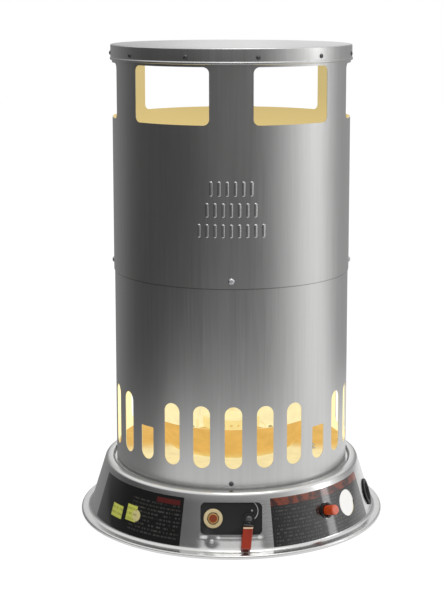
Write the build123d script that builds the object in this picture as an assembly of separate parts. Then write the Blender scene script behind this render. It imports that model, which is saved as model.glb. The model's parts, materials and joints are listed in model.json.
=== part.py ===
from build123d import *
import os
from math import atan2, cos, degrees, pi, radians, sin, sqrt

# Propane convection heater, millimetres, +Z up, front towards -Y.
# Origin: centre of the base ring on the floor.
# Azimuth 0 is the front, and 90 is the right side seen from the front.

os.makedirs("parts", exist_ok=True)

# Overall sizes, sheets and fits
HEIGHT = 716.0
SHELL_R = 177.0
SHEET = 1.0
BASE_SHEET = 1.2
SLIDE_GAP = 0.2
PIN_GAP = 0.05
MOVE_GAP = 0.4
THROUGH = 15.0

# Base skirt, spun from one sheet: neck, ledge, shoulder, cone, flange, hem
SHOULDER_OUT = 16.9
SHOULDER_H = 85.0
CONE_FLARE = 24.7
FLANGE_H = 6.0
FLANGE_WIDTH = 13.9
CREST_RUN = 11.3
CREST_RISE = 1.0
CREST_BEND = 6.0
LEDGE_DROP = 4.0
LEDGE_RUN = 4.6
LEDGE_BEND = 1.4
NECK_TALL = 23.0
NECK_LIP = 13.8
NECK_BEND = 2.0
FLANGE_BEND = 2.4
HEM = 6.5

# Lower shell
SLOT_COUNT = 24
SLOT_WIDTH = 25.0
SLOT_RISE = 33.8
SLOT_TALL = 91.5
SHORT_SLOT_TALL = 49.5
SLOT_TURN = 1.0
SHORT_SLOTS = (3, 9, 15, 21)

# Upper shell; each row of ribs has its drop below the window sill, length and count
SEAM_RISE = 297.4
LAP = 22.0
WINDOW_COUNT = 6
WINDOW_ANGLE = 40.0
WINDOW_DROP = 26.5
WINDOW_TALL = 80.9
WINDOW_CORNER = 8.5
RIB_WIDTH = 5.0
RIB_PITCH = 11.5
RIB_RAISE = 1.2
RIB_ROWS = ((88.4, 21.8, 6), (118.6, 20.9, 7), (148.0, 19.9, 9))

# Lid
LID_RIM = 23.0
LID_GAP = 1.2

# Screws: head radius, head height, shank radius, shank length
LID_SCREW = (3.5, 2.2, 1.9, 8.0)
SEAM_SCREW = (4.8, 3.2, 2.3, 9.0)
FOOT_SCREW = (3.6, 2.4, 1.9, 8.0)
DECK_SCREW = (4.0, 2.6, 1.9, 7.0)
LEVER_SCREW = (4.5, 2.2, 1.5, 6.0)
SCREW_CLEARANCE = 0.2
CROSS_SLOT = 0.9
LID_SCREW_COUNT = 11
LID_SCREW_FIRST = 12.0
LID_SCREW_DROP = 13.0
SEAM_SCREW_RISE = 10.7
FOOT_SCREW_RISE = 12.0
DECK_SCREW_COUNT = 6
DECK_SCREW_INSET = 8.0
DECK_INSET = 3.0
BOWL_SCREW_COUNT = 4
BOWL_SCREW_INSET = 9.0

# Burner group
VENTURI_R = 15.2
VENTURI_DROP = 45.2
VENTURI_INTO_HEAD = 11.5
VENTURI_FLARE = 7.0
VENTURI_MOUTH = 12.0
VENTURI_BEND = 8.0
BURNER_R = 44.0
BURNER_H = 43.0
BURNER_WALL = 4.0
BURNER_FOOT_R = 32.0
BURNER_FOOT_H = 3.0
BURNER_NECK_H = 13.0
BURNER_FLARE_H = 12.0
BURNER_FLOOR = 2.0
SPIDER = (7.0, 6.0)
PORT_COUNT = 24
PORT_R = 2.4
PORT_DROP = 10.0
CAP_OVERHANG = 3.0
CAP_H = 3.0
STUD_R = 2.5
STUD_DOWN = 12.0
STUD_UP = 7.0
CAP_NUT = (5.0, 4.0)
BOWL_FOOT_R = 97.0
BOWL_TOP_R = 133.0
BOWL_RISE = 54.8
BOWL_LIP = 19.0
BOWL_BEND = 4.0
PROBE_OUT = 16.0
PROBE_AZ = 60.0
PROBE_BELOW = 2.2
PROBE_DOWN = 10.0
PROBE_NUT = (6.5, 4.0)
THERMOCOUPLE_R = 2.5
ELECTRODE_R = 1.0
ELECTRODE_BEND = 3.0
SPARK_GAP = 7.5
SPARK_DROP = 8.0
ELECTRODE_DROP = 11.0
ELECTRODE_DOWN = 16.0
INSULATOR_R = 4.5
INSULATOR_DOWN = 14.0
INSULATOR_UP = 22.0
INSULATOR_COLLAR = (2.5, 4.0)
CLIP = (3.5, 2.5)

# Gas train
TUBE_R = 4.0
FEED_R = 4.75
TUBE_WALL = 1.0
THERMO_LEAD_R = 1.2
SPARK_LEAD_R = 1.5
HOLDER_SIZE = 18.0
HOLDER_MID = 26.0
HOLDER_NECK_R = 10.5
HOLDER_BOSS = 20.0
HOLDER_SOCKET = 8.0
STEM_R = 7.0
STEM_UP = 6.0
STEM_BORE_R = 2.0
JET_HEX = (6.0, 5.0)
JET_TIP = (4.0, 9.0)
JET_BORE_R = 0.9
NUT_R = 11.0
NUT_H = 4.5
BRIDGE_H = 40.0
STRAP = 2.0
STRAP_WIDTH = 24.0
STRAP_REACH = 34.0
STRAP_FOOT = 18.0

# Control panel, measured on the cone at the front
PANEL_H = 51.0
PANEL_WIDTH = 88.0
PANEL_TALL = 45.0
PANEL_CORNER = 7.0
PANEL_DEPTH = 8.5
PANEL_MARGIN = 8.0
PLATE = 1.2
BUTTON_U = -26.0
BUTTON_HEAD_R = 7.6
BUTTON_HEAD_H = 5.5
BUTTON_STEM_R = 3.0
BUTTON_STEM_L = 21.5
BUTTON_TRAVEL = 5.0
BUTTON_PROUD = 6.5
BUTTON_EDGE = 1.5
STEM_SOCKET = 18.0
BEZEL_R = 13.75
BEZEL_H = 5.0
BEZEL_EDGE = 1.2
SAFETY_BODY_R = 15.0
SAFETY_BODY_L = 38.0
SAFETY_HEAD_L = 24.0
SAFETY_TAIL_R = 10.0
SIDE_PORT_DEPTH = 30.0
SIDE_PORT_R = 4.5
SIDE_PORT_L = 3.0
LEVER_U = 25.0
CONTROL_BODY_R = 14.0
CONTROL_BODY_L = 34.0
CONTROL_HEAD_L = 22.0
CONTROL_TAIL_R = 8.0
CONTROL_LUG = (20.0, 26.0, 12.0)
TUBE_SOCKET = 6.0
LINK_DEPTH = 23.0
SPINDLE_R = 4.0
SPINDLE_IN = 18.0
LEVER_ARM = (9.0, 5.0)
GRIP_EDGE = 1.6
LEVER_LIFT = 2.0
LEVER_HUB_R = 8.0
LEVER_HUB_H = 6.0
GRIP_WIDTH = 14.0
GRIP_TOP = 7.5
GRIP_END = 42.0
GRIP_DEPTH = 12.0
LEVER_LEAN = 6.0
PLATE_SCREW_AZ = -7.5
PLATE_SCREW_H = 19.5
TAB_WIDTH = 20.0

# Igniter
IGNITER_AZ = 42.0
IGNITER_H = 45.0
IGNITER_BODY_R = 8.8
IGNITER_BUTTON_R = 7.3
IGNITER_PROUD = 20.0
IGNITER_TRAVEL = 6.0
IGNITER_BODY_L = 50.0
IGNITER_COLLAR_R = 11.5
IGNITER_COLLAR_H = 2.5
IGNITER_PIN = (2.6, 4.0)
IGNITER_NUT = (13.5, 5.0, 2.0)
IGNITER_SEAT = 1.0

# Springs: coil radius, wire, turns, length to spare when pressed
BUTTON_SPRING = (5.2, 0.9, 5, 0.3)
IGNITER_SPRING = (5.4, 1.0, 5, 1.0)

# Holes in the skirt on the right
LIGHT_HOLE_AZ = 56.0
LIGHT_HOLE_H = 43.5
LIGHT_HOLE_R = 19.0
HOSE_HOLE_AZ = 80.0
HOSE_HOLE_H = 33.0
HOSE_HOLE_R = 17.0
GROMMET_WALL = 3.0
GROMMET_LIP = 3.0
GROMMET_LIP_H = 2.0
GROMMET_GRIP = 1.8

# Gas inlet: 3/8 inch flare, 5/8-18 thread
INLET_R = 7.94
INLET_THREAD = 18.0
INLET_HEX = 22.0
INLET_HEX_L = 8.0
INLET_SETBACK = 70.97
INLET_RISE = 2.0
INLET_BORE_R = 2.6
INLET_NOSE = 4.0
INLET_SHANK = 14.0
HANGER = (22.0, 28.0)
HANGER_DROP = 14.0
HANGER_SCREW = (12.0, 8.0)

# Decals
DECAL = 0.3
DECAL_GAP = 0.03
DECAL_LOW = 10.0
DECAL_HIGH = 75.5
LEFT_DECAL = (-69.0, -20.0)
RIGHT_DECAL = (16.3, 70.0)

# Sizes that follow
SHOULDER_R = SHELL_R + SHOULDER_OUT
CONE_FOOT_R = SHOULDER_R + CONE_FLARE
FLANGE_R = CONE_FOOT_R + FLANGE_WIDTH
LEDGE_H = SHOULDER_H - LEDGE_DROP
NECK_TOP = LEDGE_H + NECK_TALL
SLOT_LOW = LEDGE_H + SLOT_RISE
SEAM_H = LEDGE_H + SEAM_RISE
WINDOW_HIGH = HEIGHT - WINDOW_DROP
WINDOW_LOW = WINDOW_HIGH - WINDOW_TALL
UPPER_R = SHELL_R + SLIDE_GAP + SHEET
LID_R = UPPER_R + LID_GAP + SHEET
LID_EDGE = LID_GAP + SHEET - SLIDE_GAP
NECK_R = SHELL_R - SHEET - SLIDE_GAP
LOWER_TOP = SEAM_H + LAP
SHELL_TOP = HEIGHT - SHEET
DECK_TOP = NECK_TOP + BASE_SHEET
DECK_R = NECK_R - DECK_INSET
DECK_SCREW_R = NECK_R - DECK_SCREW_INSET
BOWL_SCREW_R = BOWL_FOOT_R - BOWL_SCREW_INSET
CONE_TILT = degrees(atan2(CONE_FOOT_R - SHOULDER_R, SHOULDER_H - FLANGE_H))
HEAD_TOP = DECK_TOP + BURNER_H
PROBE_X = (BURNER_R + PROBE_OUT) * sin(radians(PROBE_AZ))
PROBE_Y = -(BURNER_R + PROBE_OUT) * cos(radians(PROBE_AZ))
PLATE_BACK = -PANEL_DEPTH - PLATE
BUTTON_FRONT = -PANEL_DEPTH + BUTTON_PROUD
BUTTON_BACK = BUTTON_FRONT - BUTTON_HEAD_H
LEVER_FRONT = LEVER_LIFT + LEVER_HUB_H
IGNITER_BACK = -IGNITER_TRAVEL - IGNITER_SEAT
STRAP_FOOT_X = STRAP_REACH + STRAP_FOOT / 2


def cone_radius(height):
    """Outer radius of the skirt's cone at a height."""
    share = (SHOULDER_H - height) / (SHOULDER_H - FLANGE_H)
    return SHOULDER_R + share * (CONE_FOOT_R - SHOULDER_R)


def outward(azimuth):
    """Horizontal direction that points out of the heater at an azimuth."""
    return Vector(sin(radians(azimuth)), -cos(radians(azimuth)), 0)


def across(azimuth):
    """Horizontal direction to the right, seen from outside."""
    return Vector(cos(radians(azimuth)), sin(radians(azimuth)), 0)


def on_cone(azimuth, height):
    """Plane on the cone: X to the right, Y up the slope, Z out of the skin."""
    tilt = radians(CONE_TILT)
    place = outward(azimuth) * cone_radius(height) + Vector(0, 0, height)
    normal = outward(azimuth) * cos(tilt) + Vector(0, 0, sin(tilt))
    return Plane(origin=place, x_dir=across(azimuth), z_dir=normal)


def on_wall(azimuth, radius, height):
    """Upright plane at a radius: X to the right, Y up, Z outwards."""
    place = outward(azimuth) * radius + Vector(0, 0, height)
    return Plane(origin=place, x_dir=across(azimuth), z_dir=outward(azimuth))


def rod(plane, radius, low, high, at=(0, 0)):
    """Cylinder along a plane's normal, from low to high."""
    spot = Location((at[0], at[1], (low + high) / 2))
    return plane.location * spot * Cylinder(radius, high - low)


def pipe(plane, radius, bore, low, high, at=(0, 0)):
    return rod(plane, radius, low, high, at) - rod(plane, bore, low - 1, high + 1, at)


def block(plane, size, middle):
    return plane.location * Location(middle) * Box(*size)


def hexagon(plane, radius, low, high, at=(0, 0)):
    face = Location((at[0], at[1], low)) * RegularPolygon(radius, 6)
    return plane.location * extrude(face, high - low)


def bent_sheet(points, radii, thickness, side):
    """Turned sheet from a section of outer points, each corner rounded."""
    with BuildLine(Plane.XZ) as section:
        FilletPolyline(*points, radius=radii)
        offset(amount=thickness, side=side, closed=True)
    face = make_face(section.edges())
    return revolve(face, Axis.Z)


def ring_wall(radius, thickness, low, high):
    return pipe(Plane.XY, radius, radius - thickness, low, high)


def screw(plane, sizes):
    """Domed head on the plane, with its shank going in."""
    head_r, head_h, shank_r, shank_l = sizes
    dome_r = (head_r**2 + head_h**2) / (2 * head_h)
    ball = Location((0, 0, head_h - dome_r)) * Sphere(dome_r)
    head = ball & Location((0, 0, head_h)) * Box(4 * head_r, 4 * head_r, 2 * head_h)
    cross = Box(head_r * 1.1, CROSS_SLOT, head_h) + Box(CROSS_SLOT, head_r * 1.1, head_h)
    head -= Location((0, 0, head_h * 1.2)) * cross
    shank = Location((0, 0, -shank_l / 2)) * Cylinder(shank_r, shank_l)
    return plane.location * (head + shank)


def screw_hole(plane, sizes):
    return rod(plane, sizes[2] + SCREW_CLEARANCE, -sizes[3], sizes[3])


def tube(points, radii, radius, bore=0.0):
    """Bent tube along straight runs joined by tangent arcs."""
    path = FilletPolyline(*points, radius=radii)
    start = Plane(origin=path @ 0, z_dir=path % 0)
    skin = sweep(start * Circle(radius), path=path)
    if bore:
        skin -= sweep(start * Circle(bore), path=path)
    return skin


def write(name, shape):
    shape.label = name
    export_step(shape, f"parts/{name}.step")


def group(pieces):
    return Compound(children=[p for piece in pieces for p in piece.solids()])


# Places that several pieces share
PANEL = on_cone(0, PANEL_H)
IGNITER = on_cone(IGNITER_AZ, IGNITER_H)
LIGHT_HOLE = on_cone(LIGHT_HOLE_AZ, LIGHT_HOLE_H)
HOSE_HOLE = on_cone(HOSE_HOLE_AZ, HOSE_HOLE_H)
LID_SPOTS = [
    on_wall(LID_SCREW_FIRST + i * 360 / LID_SCREW_COUNT, LID_R, HEIGHT - LID_SCREW_DROP)
    for i in range(LID_SCREW_COUNT)
]
SEAM_SPOTS = [on_wall(i * 90, UPPER_R, SEAM_H + SEAM_SCREW_RISE) for i in range(4)]
FOOT_SPOTS = [on_wall(i * 90, SHELL_R, LEDGE_H + FOOT_SCREW_RISE) for i in range(4)]
DECK_SPOTS = [
    Plane(origin=outward(i * 360 / DECK_SCREW_COUNT + 30) * DECK_SCREW_R + Vector(0, 0, DECK_TOP))
    for i in range(DECK_SCREW_COUNT)
]
STRAP_SPOTS = [Plane(origin=(s * STRAP_FOOT_X, 0, DECK_TOP)) for s in (-1, 1)]
BOWL_SPOTS = [
    Plane(origin=outward(45 + i * 90) * BOWL_SCREW_R + Vector(0, 0, DECK_TOP + SHEET))
    for i in range(BOWL_SCREW_COUNT)
]
HANGER_Y = HOSE_HOLE.origin.Y
INLET_H = HOSE_HOLE_H + INLET_RISE
INLET_FACE_X = HOSE_HOLE.origin.X - INLET_SETBACK
HANGER_SPOTS = [
    Plane(origin=(INLET_FACE_X - HANGER_SCREW[0], HANGER_Y + s * HANGER_SCREW[1], DECK_TOP))
    for s in (-1, 1)
]
INLET = Plane(origin=(INLET_FACE_X, HANGER_Y, INLET_H), z_dir=(1, 0, 0))
PLATE_SCREW_SPOT = on_cone(PLATE_SCREW_AZ, PLATE_SCREW_H)


def base_skirt():
    crest_in = SHOULDER_R - CREST_RUN
    points = [
        (NECK_R - NECK_LIP, NECK_TOP),
        (NECK_R, NECK_TOP),
        (NECK_R, LEDGE_H),
        (NECK_R + LEDGE_RUN, LEDGE_H),
        (crest_in, SHOULDER_H + CREST_RISE),
        (SHOULDER_R, SHOULDER_H),
        (CONE_FOOT_R, FLANGE_H),
        (FLANGE_R, FLANGE_H),
        (FLANGE_R, 0),
        (FLANGE_R - HEM, 0),
    ]
    flange = [CREST_BEND, FLANGE_BEND, FLANGE_BEND]
    radii = [NECK_BEND, SLIDE_GAP, LEDGE_BEND, FLANGE_BEND, CREST_BEND] + flange
    skirt = bent_sheet(points, radii, BASE_SHEET, Side.RIGHT)
    opening = RectangleRounded(PANEL_WIDTH, PANEL_TALL, PANEL_CORNER)
    cuts = [
        PANEL.location * extrude(opening, 2 * THROUGH, both=True),
        rod(IGNITER, IGNITER_BODY_R + SCREW_CLEARANCE, -THROUGH, THROUGH),
        rod(LIGHT_HOLE, LIGHT_HOLE_R, -THROUGH, THROUGH),
        rod(HOSE_HOLE, HOSE_HOLE_R, -THROUGH, THROUGH),
        screw_hole(PLATE_SCREW_SPOT, FOOT_SCREW),
    ]
    cuts += [screw_hole(p, FOOT_SCREW) for p in FOOT_SPOTS]
    cuts += [screw_hole(p, DECK_SCREW) for p in DECK_SPOTS]
    return skirt - cuts


def deck_plate():
    plate = rod(Plane.XY, DECK_R, NECK_TOP, DECK_TOP)
    cuts = [screw_hole(p, DECK_SCREW) for p in DECK_SPOTS + STRAP_SPOTS + HANGER_SPOTS]
    cuts += [screw_hole(p, DECK_SCREW) for p in BOWL_SPOTS]
    low, high = DECK_TOP - THROUGH, DECK_TOP + THROUGH
    cuts.append(rod(Plane.XY, VENTURI_R + SHEET + MOVE_GAP, low, high))
    cuts.append(rod(Plane.XY, INSULATOR_R + SLIDE_GAP, low, high, (PROBE_X, PROBE_Y)))
    cuts.append(rod(Plane.XY, THERMOCOUPLE_R + SLIDE_GAP, low, high, (-PROBE_X, PROBE_Y)))
    return plate - cuts


def slot_cutter(index):
    azimuth = SLOT_TURN + index * 360 / SLOT_COUNT
    tall = SHORT_SLOT_TALL if index in SHORT_SLOTS else SLOT_TALL
    middle = on_wall(azimuth, SHELL_R - THROUGH, SLOT_LOW + tall / 2)
    if index in SHORT_SLOTS:
        rise = tall - SLOT_WIDTH / 2
        face = Location((0, (tall - rise) / 2)) * Rectangle(SLOT_WIDTH, rise)
        face += Location((0, SLOT_WIDTH / 2 - tall / 2)) * Circle(SLOT_WIDTH / 2)
    else:
        face = SlotOverall(tall, SLOT_WIDTH, rotation=90)
    return middle.location * extrude(face, 2 * THROUGH)


def lower_shell():
    shell = ring_wall(SHELL_R, SHEET, LEDGE_H, LOWER_TOP)
    cuts = [slot_cutter(i) for i in range(SLOT_COUNT)]
    cuts += [screw_hole(p, SEAM_SCREW) for p in SEAM_SPOTS]
    cuts += [screw_hole(p, FOOT_SCREW) for p in FOOT_SPOTS]
    return shell - cuts


def window_cutter(index):
    azimuth = (index + 0.5) * 360 / WINDOW_COUNT
    wide = 2 * UPPER_R * sin(radians(WINDOW_ANGLE / 2))
    middle = on_wall(azimuth, UPPER_R - 2 * THROUGH, WINDOW_LOW + WINDOW_TALL / 2)
    face = RectangleRounded(wide, WINDOW_TALL, WINDOW_CORNER)
    return middle.location * extrude(face, 3 * THROUGH)


def embossed_ribs():
    """Three rows of short upright ribs pressed outwards at the front."""
    bars = []
    for drop, tall, count in RIB_ROWS:
        row = on_wall(0, UPPER_R - THROUGH, WINDOW_LOW - drop)
        for i in range(count):
            across_x = (i - (count - 1) / 2) * RIB_PITCH
            face = Location((across_x, 0)) * SlotOverall(tall, RIB_WIDTH, rotation=90)
            bars.append(row.location * extrude(face, 2 * THROUGH))
    band = ring_wall(UPPER_R + RIB_RAISE, RIB_RAISE + SHEET / 2, SEAM_H, WINDOW_LOW)
    return [bar & band for bar in bars]


def upper_shell():
    shell = ring_wall(UPPER_R, SHEET, SEAM_H, SHELL_TOP)
    cuts = [window_cutter(i) for i in range(WINDOW_COUNT)]
    cuts += [screw_hole(p, SEAM_SCREW) for p in SEAM_SPOTS]
    cuts += [screw_hole(p, LID_SCREW) for p in LID_SPOTS]
    return shell + embossed_ribs() - cuts


def lid():
    points = [(0, HEIGHT), (LID_R, HEIGHT), (LID_R, HEIGHT - LID_RIM)]
    cap = bent_sheet(points, [LID_EDGE], SHEET, Side.RIGHT)
    return cap - [screw_hole(p, LID_SCREW) for p in LID_SPOTS]


def flame_bowl():
    seat = DECK_TOP + SHEET
    top = (BOWL_TOP_R, DECK_TOP + BOWL_RISE)
    points = [(BOWL_FOOT_R - BOWL_LIP, seat), (BOWL_FOOT_R, seat), top]
    bowl = bent_sheet(points, [BOWL_BEND], SHEET, Side.LEFT)
    return bowl - [screw_hole(p, DECK_SCREW) for p in BOWL_SPOTS]


def burner_head():
    """Cast cup on the deck, with a ring of round ports in its wall."""
    foot = DECK_TOP + BURNER_FOOT_H
    bell = DECK_TOP + BURNER_NECK_H
    flare = bell + BURNER_FLARE_H
    bore = VENTURI_R + SLIDE_GAP
    inside = BURNER_R - BURNER_WALL
    outer = [
        (0, DECK_TOP),
        (BURNER_FOOT_R, DECK_TOP),
        (BURNER_FOOT_R, foot),
        (VENTURI_R + BURNER_WALL, foot),
        (VENTURI_R + BURNER_WALL, bell),
        (BURNER_R, flare),
        (BURNER_R, HEAD_TOP),
        (0, HEAD_TOP),
    ]
    inner = [
        (0, DECK_TOP),
        (bore, DECK_TOP),
        (bore, bell),
        (inside, flare + BURNER_FLOOR),
        (inside, HEAD_TOP),
        (0, HEAD_TOP),
    ]
    cup = revolve(Plane.XZ * make_face(Polyline(*outer, close=True)), Axis.Z)
    cup -= revolve(Plane.XZ * make_face(Polyline(*inner, close=True)), Axis.Z)
    spider_size = (inside + BURNER_R, SPIDER[0], SPIDER[1])
    spider = Location((0, 0, HEAD_TOP - SPIDER[1] / 2)) * Box(*spider_size)
    spider -= rod(Plane.XY, STUD_R + PIN_GAP, HEAD_TOP - THROUGH, HEAD_TOP + THROUGH)
    ports = [
        rod(on_wall(i * 360 / PORT_COUNT, BURNER_R, HEAD_TOP - PORT_DROP), PORT_R, -2 * BURNER_WALL, 2)
        for i in range(PORT_COUNT)
    ]
    return cup + spider - ports


def burner_cap():
    cap = rod(Plane.XY, BURNER_R + CAP_OVERHANG, HEAD_TOP, HEAD_TOP + CAP_H)
    cap -= rod(Plane.XY, STUD_R + PIN_GAP, HEAD_TOP - 1, HEAD_TOP + CAP_H + 1)
    edge = cap.faces().sort_by(Axis.Z)[-1].edges().sort_by(SortBy.RADIUS)[-1]
    return fillet(edge, CAP_H * 0.6)


def cap_stud():
    return rod(Plane.XY, STUD_R, HEAD_TOP - STUD_DOWN, HEAD_TOP + CAP_H + STUD_UP)


def cap_nut():
    low = HEAD_TOP + CAP_H
    high = low + CAP_NUT[1]
    return hexagon(Plane.XY, CAP_NUT[0], low, high) - rod(Plane.XY, STUD_R + PIN_GAP, low - 1, high + 1)


def venturi_tube():
    """Mixing tube with a flared mouth above the gas jet."""
    top = DECK_TOP + VENTURI_INTO_HEAD
    low = DECK_TOP - VENTURI_DROP
    mouth = (VENTURI_R + VENTURI_FLARE, low)
    points = [mouth, (VENTURI_R, low + VENTURI_MOUTH), (VENTURI_R, top)]
    return bent_sheet(points, [VENTURI_BEND], SHEET, Side.LEFT)


def venturi_bracket():
    """Strap that hangs from the deck and carries the jet under the tube."""
    low, high = BRIDGE_H - STRAP, NECK_TOP
    pieces = [block(Plane.XY, (2 * STRAP_REACH, STRAP_WIDTH, STRAP), (0, 0, BRIDGE_H - STRAP / 2))]
    for side in (-1, 1):
        leg_x = side * (STRAP_REACH - STRAP / 2)
        pieces.append(block(Plane.XY, (STRAP, STRAP_WIDTH, high - low), (leg_x, 0, (high + low) / 2)))
        foot = (side * STRAP_FOOT_X, 0, high - STRAP / 2)
        pieces.append(block(Plane.XY, (STRAP_FOOT, STRAP_WIDTH, STRAP), foot))
    strap = pieces[0] + pieces[1:]
    cuts = [rod(Plane.XY, STEM_R + SCREW_CLEARANCE, low - 1, low + THROUGH)]
    cuts += [screw_hole(p, DECK_SCREW) for p in STRAP_SPOTS]
    return strap - cuts


def jet_holder():
    """Brass elbow below the strap, with its stem through it."""
    top = BRIDGE_H + STEM_UP
    socket = HOLDER_BOSS - HOLDER_SOCKET
    front = on_wall(0, 0, HOLDER_MID)
    body = block(Plane.XY, (HOLDER_SIZE,) * 3, (0, 0, HOLDER_MID))
    body += rod(Plane.XY, HOLDER_NECK_R, HOLDER_MID, BRIDGE_H - STRAP)
    body += rod(Plane.XY, STEM_R, HOLDER_MID, top)
    body += rod(front, STEM_R, 0, HOLDER_BOSS)
    body -= rod(front, TUBE_R, socket, HOLDER_BOSS + 1)
    body -= rod(Plane.XY, STEM_BORE_R, HOLDER_MID, top + 1)
    return body - rod(front, STEM_BORE_R, 0, socket + 1)


def jet_nut():
    nut = hexagon(Plane.XY, NUT_R, BRIDGE_H, BRIDGE_H + NUT_H)
    return nut - rod(Plane.XY, STEM_R + PIN_GAP, BRIDGE_H - 1, BRIDGE_H + NUT_H + 1)


def gas_jet():
    low = BRIDGE_H + STEM_UP
    tip = low + JET_TIP[1]
    jet = hexagon(Plane.XY, JET_HEX[0], low, low + JET_HEX[1]) + rod(Plane.XY, JET_TIP[0], low, tip)
    return jet - rod(Plane.XY, JET_BORE_R, low - 1, tip + 1)


def electrode():
    """Bent steel rod that ends beside the ports."""
    reach = sqrt(PROBE_X**2 + PROBE_Y**2)
    share = (BURNER_R + SPARK_GAP) / reach
    points = [
        (PROBE_X, PROBE_Y, DECK_TOP - ELECTRODE_DOWN),
        (PROBE_X, PROBE_Y, HEAD_TOP - ELECTRODE_DROP),
        (PROBE_X * share, PROBE_Y * share, HEAD_TOP - SPARK_DROP),
    ]
    return tube(points, [ELECTRODE_BEND], ELECTRODE_R)


def electrode_insulator():
    at = (PROBE_X, PROBE_Y)
    low, high = DECK_TOP - INSULATOR_DOWN, DECK_TOP + INSULATOR_UP
    collar, collar_h = INSULATOR_COLLAR
    body = rod(Plane.XY, INSULATOR_R, low, high, at)
    body += rod(Plane.XY, INSULATOR_R + collar, DECK_TOP, DECK_TOP + collar_h, at)
    return body - rod(Plane.XY, ELECTRODE_R + PIN_GAP, low - 1, high + 1, at)


def electrode_clip():
    at = (PROBE_X, PROBE_Y)
    wall, tall = CLIP
    return pipe(Plane.XY, INSULATOR_R + wall, INSULATOR_R + PIN_GAP, NECK_TOP - tall, NECK_TOP, at)


def thermocouple():
    at = (-PROBE_X, PROBE_Y)
    neck = HEAD_TOP - PROBE_BELOW - THERMOCOUPLE_R
    probe = rod(Plane.XY, THERMOCOUPLE_R, DECK_TOP - PROBE_DOWN, neck, at)
    return probe + Location((*at, neck)) * Sphere(THERMOCOUPLE_R)


def thermocouple_nuts():
    at = (-PROBE_X, PROBE_Y)
    size, tall = PROBE_NUT
    pieces = []
    for low in (DECK_TOP, NECK_TOP - tall):
        nut = hexagon(Plane.XY, size, low, low + tall, at)
        pieces.append(nut - rod(Plane.XY, THERMOCOUPLE_R + PIN_GAP, low - 1, low + tall + 1, at))
    return group(pieces)


def thermocouple_lead():
    side_end = BUTTON_U - SAFETY_BODY_R - SIDE_PORT_L
    start = PANEL.from_local_coords((side_end, 0, -SIDE_PORT_DEPTH))
    points = [
        start,
        start + Vector(-20, 0, 0),
        (-78, -146, 48),
        (-70, -92, 58),
        (-PROBE_X, PROBE_Y, 62),
        (-PROBE_X, PROBE_Y, DECK_TOP - PROBE_DOWN),
    ]
    return tube(points, [10.0, 18.0, 30.0, 14.0], THERMO_LEAD_R)


def spark_lead():
    inward = IGNITER.z_dir * -1
    start = IGNITER.from_local_coords((0, 0, -IGNITER_BODY_L - IGNITER_PIN[1]))
    points = [
        start,
        start + inward * 18,
        (74, -76, 32),
        (58, -44, 58),
        (PROBE_X, PROBE_Y, 74),
        (PROBE_X, PROBE_Y, DECK_TOP - ELECTRODE_DOWN),
    ]
    return tube(points, [14.0, 20.0, 24.0, 14.0], SPARK_LEAD_R)


def control_plate():
    """Black plate behind the opening, with a stepped tab to the skirt."""
    wide = PANEL_WIDTH + 2 * PANEL_MARGIN
    tall = PANEL_TALL + 2 * PANEL_MARGIN
    plate = block(PANEL, (wide, tall, PLATE), (0, 0, PLATE_BACK + PLATE / 2))
    spot = PANEL.to_local_coords(PLATE_SCREW_SPOT.origin)
    skin_fall = (abs(spot.X) + TAB_WIDTH / 2) ** 2 / (2 * cone_radius(PLATE_SCREW_H))
    tab_front = -skin_fall - BASE_SHEET - SLIDE_GAP
    step_v = -tall / 2
    step_mid = (PLATE_BACK + tab_front) / 2
    plate += block(PANEL, (TAB_WIDTH, PLATE, tab_front - PLATE_BACK), (spot.X, step_v, step_mid))
    tab_low = spot.Y - TAB_WIDTH / 4
    tab_size = (TAB_WIDTH, step_v + PLATE / 2 - tab_low, PLATE)
    plate += block(PANEL, tab_size, (spot.X, tab_low + tab_size[1] / 2, tab_front - PLATE / 2))
    cuts = [
        rod(PANEL, BUTTON_HEAD_R + MOVE_GAP, -2 * THROUGH, 0, (BUTTON_U, 0)),
        rod(PANEL, SPINDLE_R + MOVE_GAP, -2 * THROUGH, 0, (LEVER_U, 0)),
        screw_hole(PLATE_SCREW_SPOT, FOOT_SCREW),
    ]
    return plate - cuts


def pocket_floor(back, travel, spring):
    """Depth at which a pocket ends, so that its spring still fits when pressed."""
    wire, turns, spare = spring[1:]
    return back - travel - (turns + 1) * wire - spare


def front_edge(shape, plane):
    """Circular edge that lies furthest along a plane's normal."""
    circles = shape.edges().filter_by(GeomType.CIRCLE)
    return circles.sort_by(lambda edge: plane.to_local_coords(edge.center()).Z)[-1]


def safety_valve():
    """Shut-off valve body behind the plate, with its spring pocket."""
    at = (BUTTON_U, 0)
    head_end = PLATE_BACK - SAFETY_HEAD_L
    tail_end = PLATE_BACK - SAFETY_BODY_L
    pocket = pocket_floor(BUTTON_BACK, BUTTON_TRAVEL, BUTTON_SPRING)
    side = Plane(origin=PANEL.from_local_coords((BUTTON_U, 0, -SIDE_PORT_DEPTH)), z_dir=(-1, 0, 0))
    body = rod(PANEL, SAFETY_BODY_R, head_end, PLATE_BACK, at)
    body += rod(PANEL, SAFETY_TAIL_R, tail_end, head_end + 1, at)
    body += rod(side, SIDE_PORT_R, 0, SAFETY_BODY_R + SIDE_PORT_L)
    body -= rod(PANEL, BUTTON_HEAD_R + MOVE_GAP, pocket, PLATE_BACK + 1, at)
    body -= rod(PANEL, BUTTON_STEM_R + PIN_GAP, pocket - STEM_SOCKET, pocket + 1, at)
    return body - rod(PANEL, FEED_R, tail_end - 1, tail_end + TUBE_SOCKET + 1, at)


def valve_button():
    at = (BUTTON_U, 0)
    head = rod(PANEL, BUTTON_HEAD_R, BUTTON_BACK, BUTTON_FRONT, at)
    head = fillet(front_edge(head, PANEL), BUTTON_EDGE)
    return head + rod(PANEL, BUTTON_STEM_R, BUTTON_BACK - BUTTON_STEM_L, BUTTON_BACK + 0.5, at)


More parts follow.
